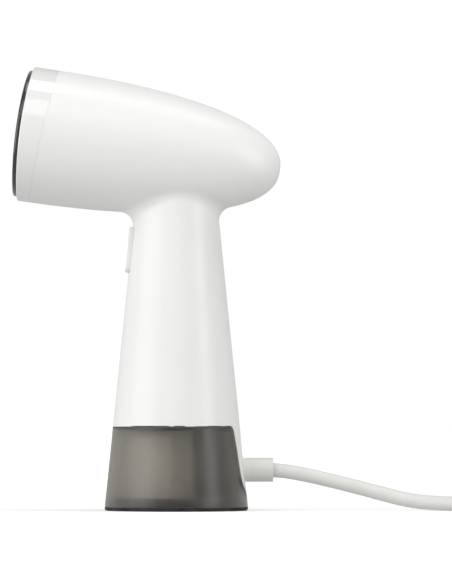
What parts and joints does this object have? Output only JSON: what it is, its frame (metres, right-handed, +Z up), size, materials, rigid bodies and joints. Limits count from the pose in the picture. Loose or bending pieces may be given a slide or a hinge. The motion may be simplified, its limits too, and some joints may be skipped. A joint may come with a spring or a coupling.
{
  "type": "garment steamer",
  "caption": "Hand-held garment steamer with a bullet-shaped head, black steam plate, conical handle, trigger, removable smoked water tank and coiled mains cord.",
  "frame": {"origin": "middle of the foot pad's underside, on the axis of the conical handle, where the steamer stands", "axes": "+Z up along the handle's axis; -X is the way the steam plate faces; +X is the back, where the cord leaves"},
  "size_m": [0.3683, 0.0996, 0.2398],
  "materials": {
    "housing_white": "satin moulded plastic",
    "bezel_white": "polished moulded plastic",
    "trigger_white": "satin moulded plastic",
    "plate_black": "black ceramic-coated cast aluminium",
    "silicone_red": "moulded silicone",
    "cast_aluminium": "die-cast",
    "steel": "bright steel",
    "brass_parts": "turned or stamped brass",
    "dark_plastic": "moulded plastic",
    "inner_plastic": "moulded plastic",
    "board_green": "laminate with solder resist",
    "copper_winding": "enamelled copper wire",
    "wire_insulation": "wire insulation",
    "black_rubber": "moulded rubber",
    "hose_silicone": "translucent silicone hose",
    "smoked_tank": "smoked transparent plastic",
    "cord_grey": "soft grey-white cable sheath",
    "plug_white": "moulded plug"
  },
  "bodies": {
    "housing": {"housing_left": "housing_white", "housing_right": "housing_white", "housing_screws": "steel", "handle_base": "inner_plastic", "front_bezel": "bezel_white", "steam_plate": "plate_black", "plate_gasket": "silicone_red", "steam_chamber": "cast_aluminium", "heating_element": "steel", "chamber_lid": "cast_aluminium", "chamber_screws": "steel", "chamber_holder": "dark_plastic", "water_inlet": "brass_parts", "thermostat": "dark_plastic", "thermal_fuse": "steel", "trigger_spring": "steel", "switch_body": "dark_plastic", "control_board": "board_green", "board_parts": "dark_plastic", "supply_wires": "wire_insulation", "heater_wires": "wire_insulation", "pump_core": "inner_plastic", "pump_winding": "copper_winding", "pump_strap": "steel", "pump_sleeves": "black_rubber", "pump_spring": "steel", "suction_tube": "inner_plastic", "straw_filter": "inner_plastic", "lower_hose": "hose_silicone", "upper_hose": "hose_silicone", "cord_gland": "cord_grey", "inner_lead": "cord_grey", "cord_clamp": "dark_plastic", "cord_run": "cord_grey", "cord_coil": "cord_grey", "cord_tail": "cord_grey", "mains_plug": "plug_white", "plug_blades": "brass_parts"},
    "trigger": {"trigger": "trigger_white"},
    "switch_plunger": {"switch_plunger": "inner_plastic"},
    "tank": {"tank_shell": "smoked_tank", "tank_deck": "dark_plastic", "tank_floor": "smoked_tank", "base_pad": "black_rubber", "port_seal": "black_rubber"},
    "fill_plug": {"fill_plug": "black_rubber"},
    "pump_piston": {"pump_piston": "steel"}
  },
  "joints": [
    {"name": "trigger_press", "type": "slide", "parent": "housing", "child": "trigger", "axis": [0.995, 0, -0.1002], "range_m": [0, 0.0016], "stiffness_N_per_m": 900, "springref_m": -0.0015, "deforming": ["trigger_spring"]},
    {"name": "switch_press", "type": "slide", "parent": "housing", "child": "switch_plunger", "axis": [0.995, 0, -0.1002], "range_m": [0, 0.0016]},
    {"name": "tank_release", "type": "slide", "parent": "housing", "child": "tank", "axis": [0, 0, -1], "range_m": [0, 0.06]},
    {"name": "fill_plug_lift", "type": "slide", "parent": "tank", "child": "fill_plug", "axis": [0, 0, 1], "range_m": [0, 0.006]},
    {"name": "pump_stroke", "type": "slide", "parent": "housing", "child": "pump_piston", "axis": [0, 0, 1], "range_m": [0, 0.002], "stiffness_N_per_m": 400, "springref_m": -0.003, "deforming": ["pump_spring"]}
  ],
  "couplings": [
    {"joint": "switch_press", "follows": "trigger_press", "ratio": 1}
  ]
}
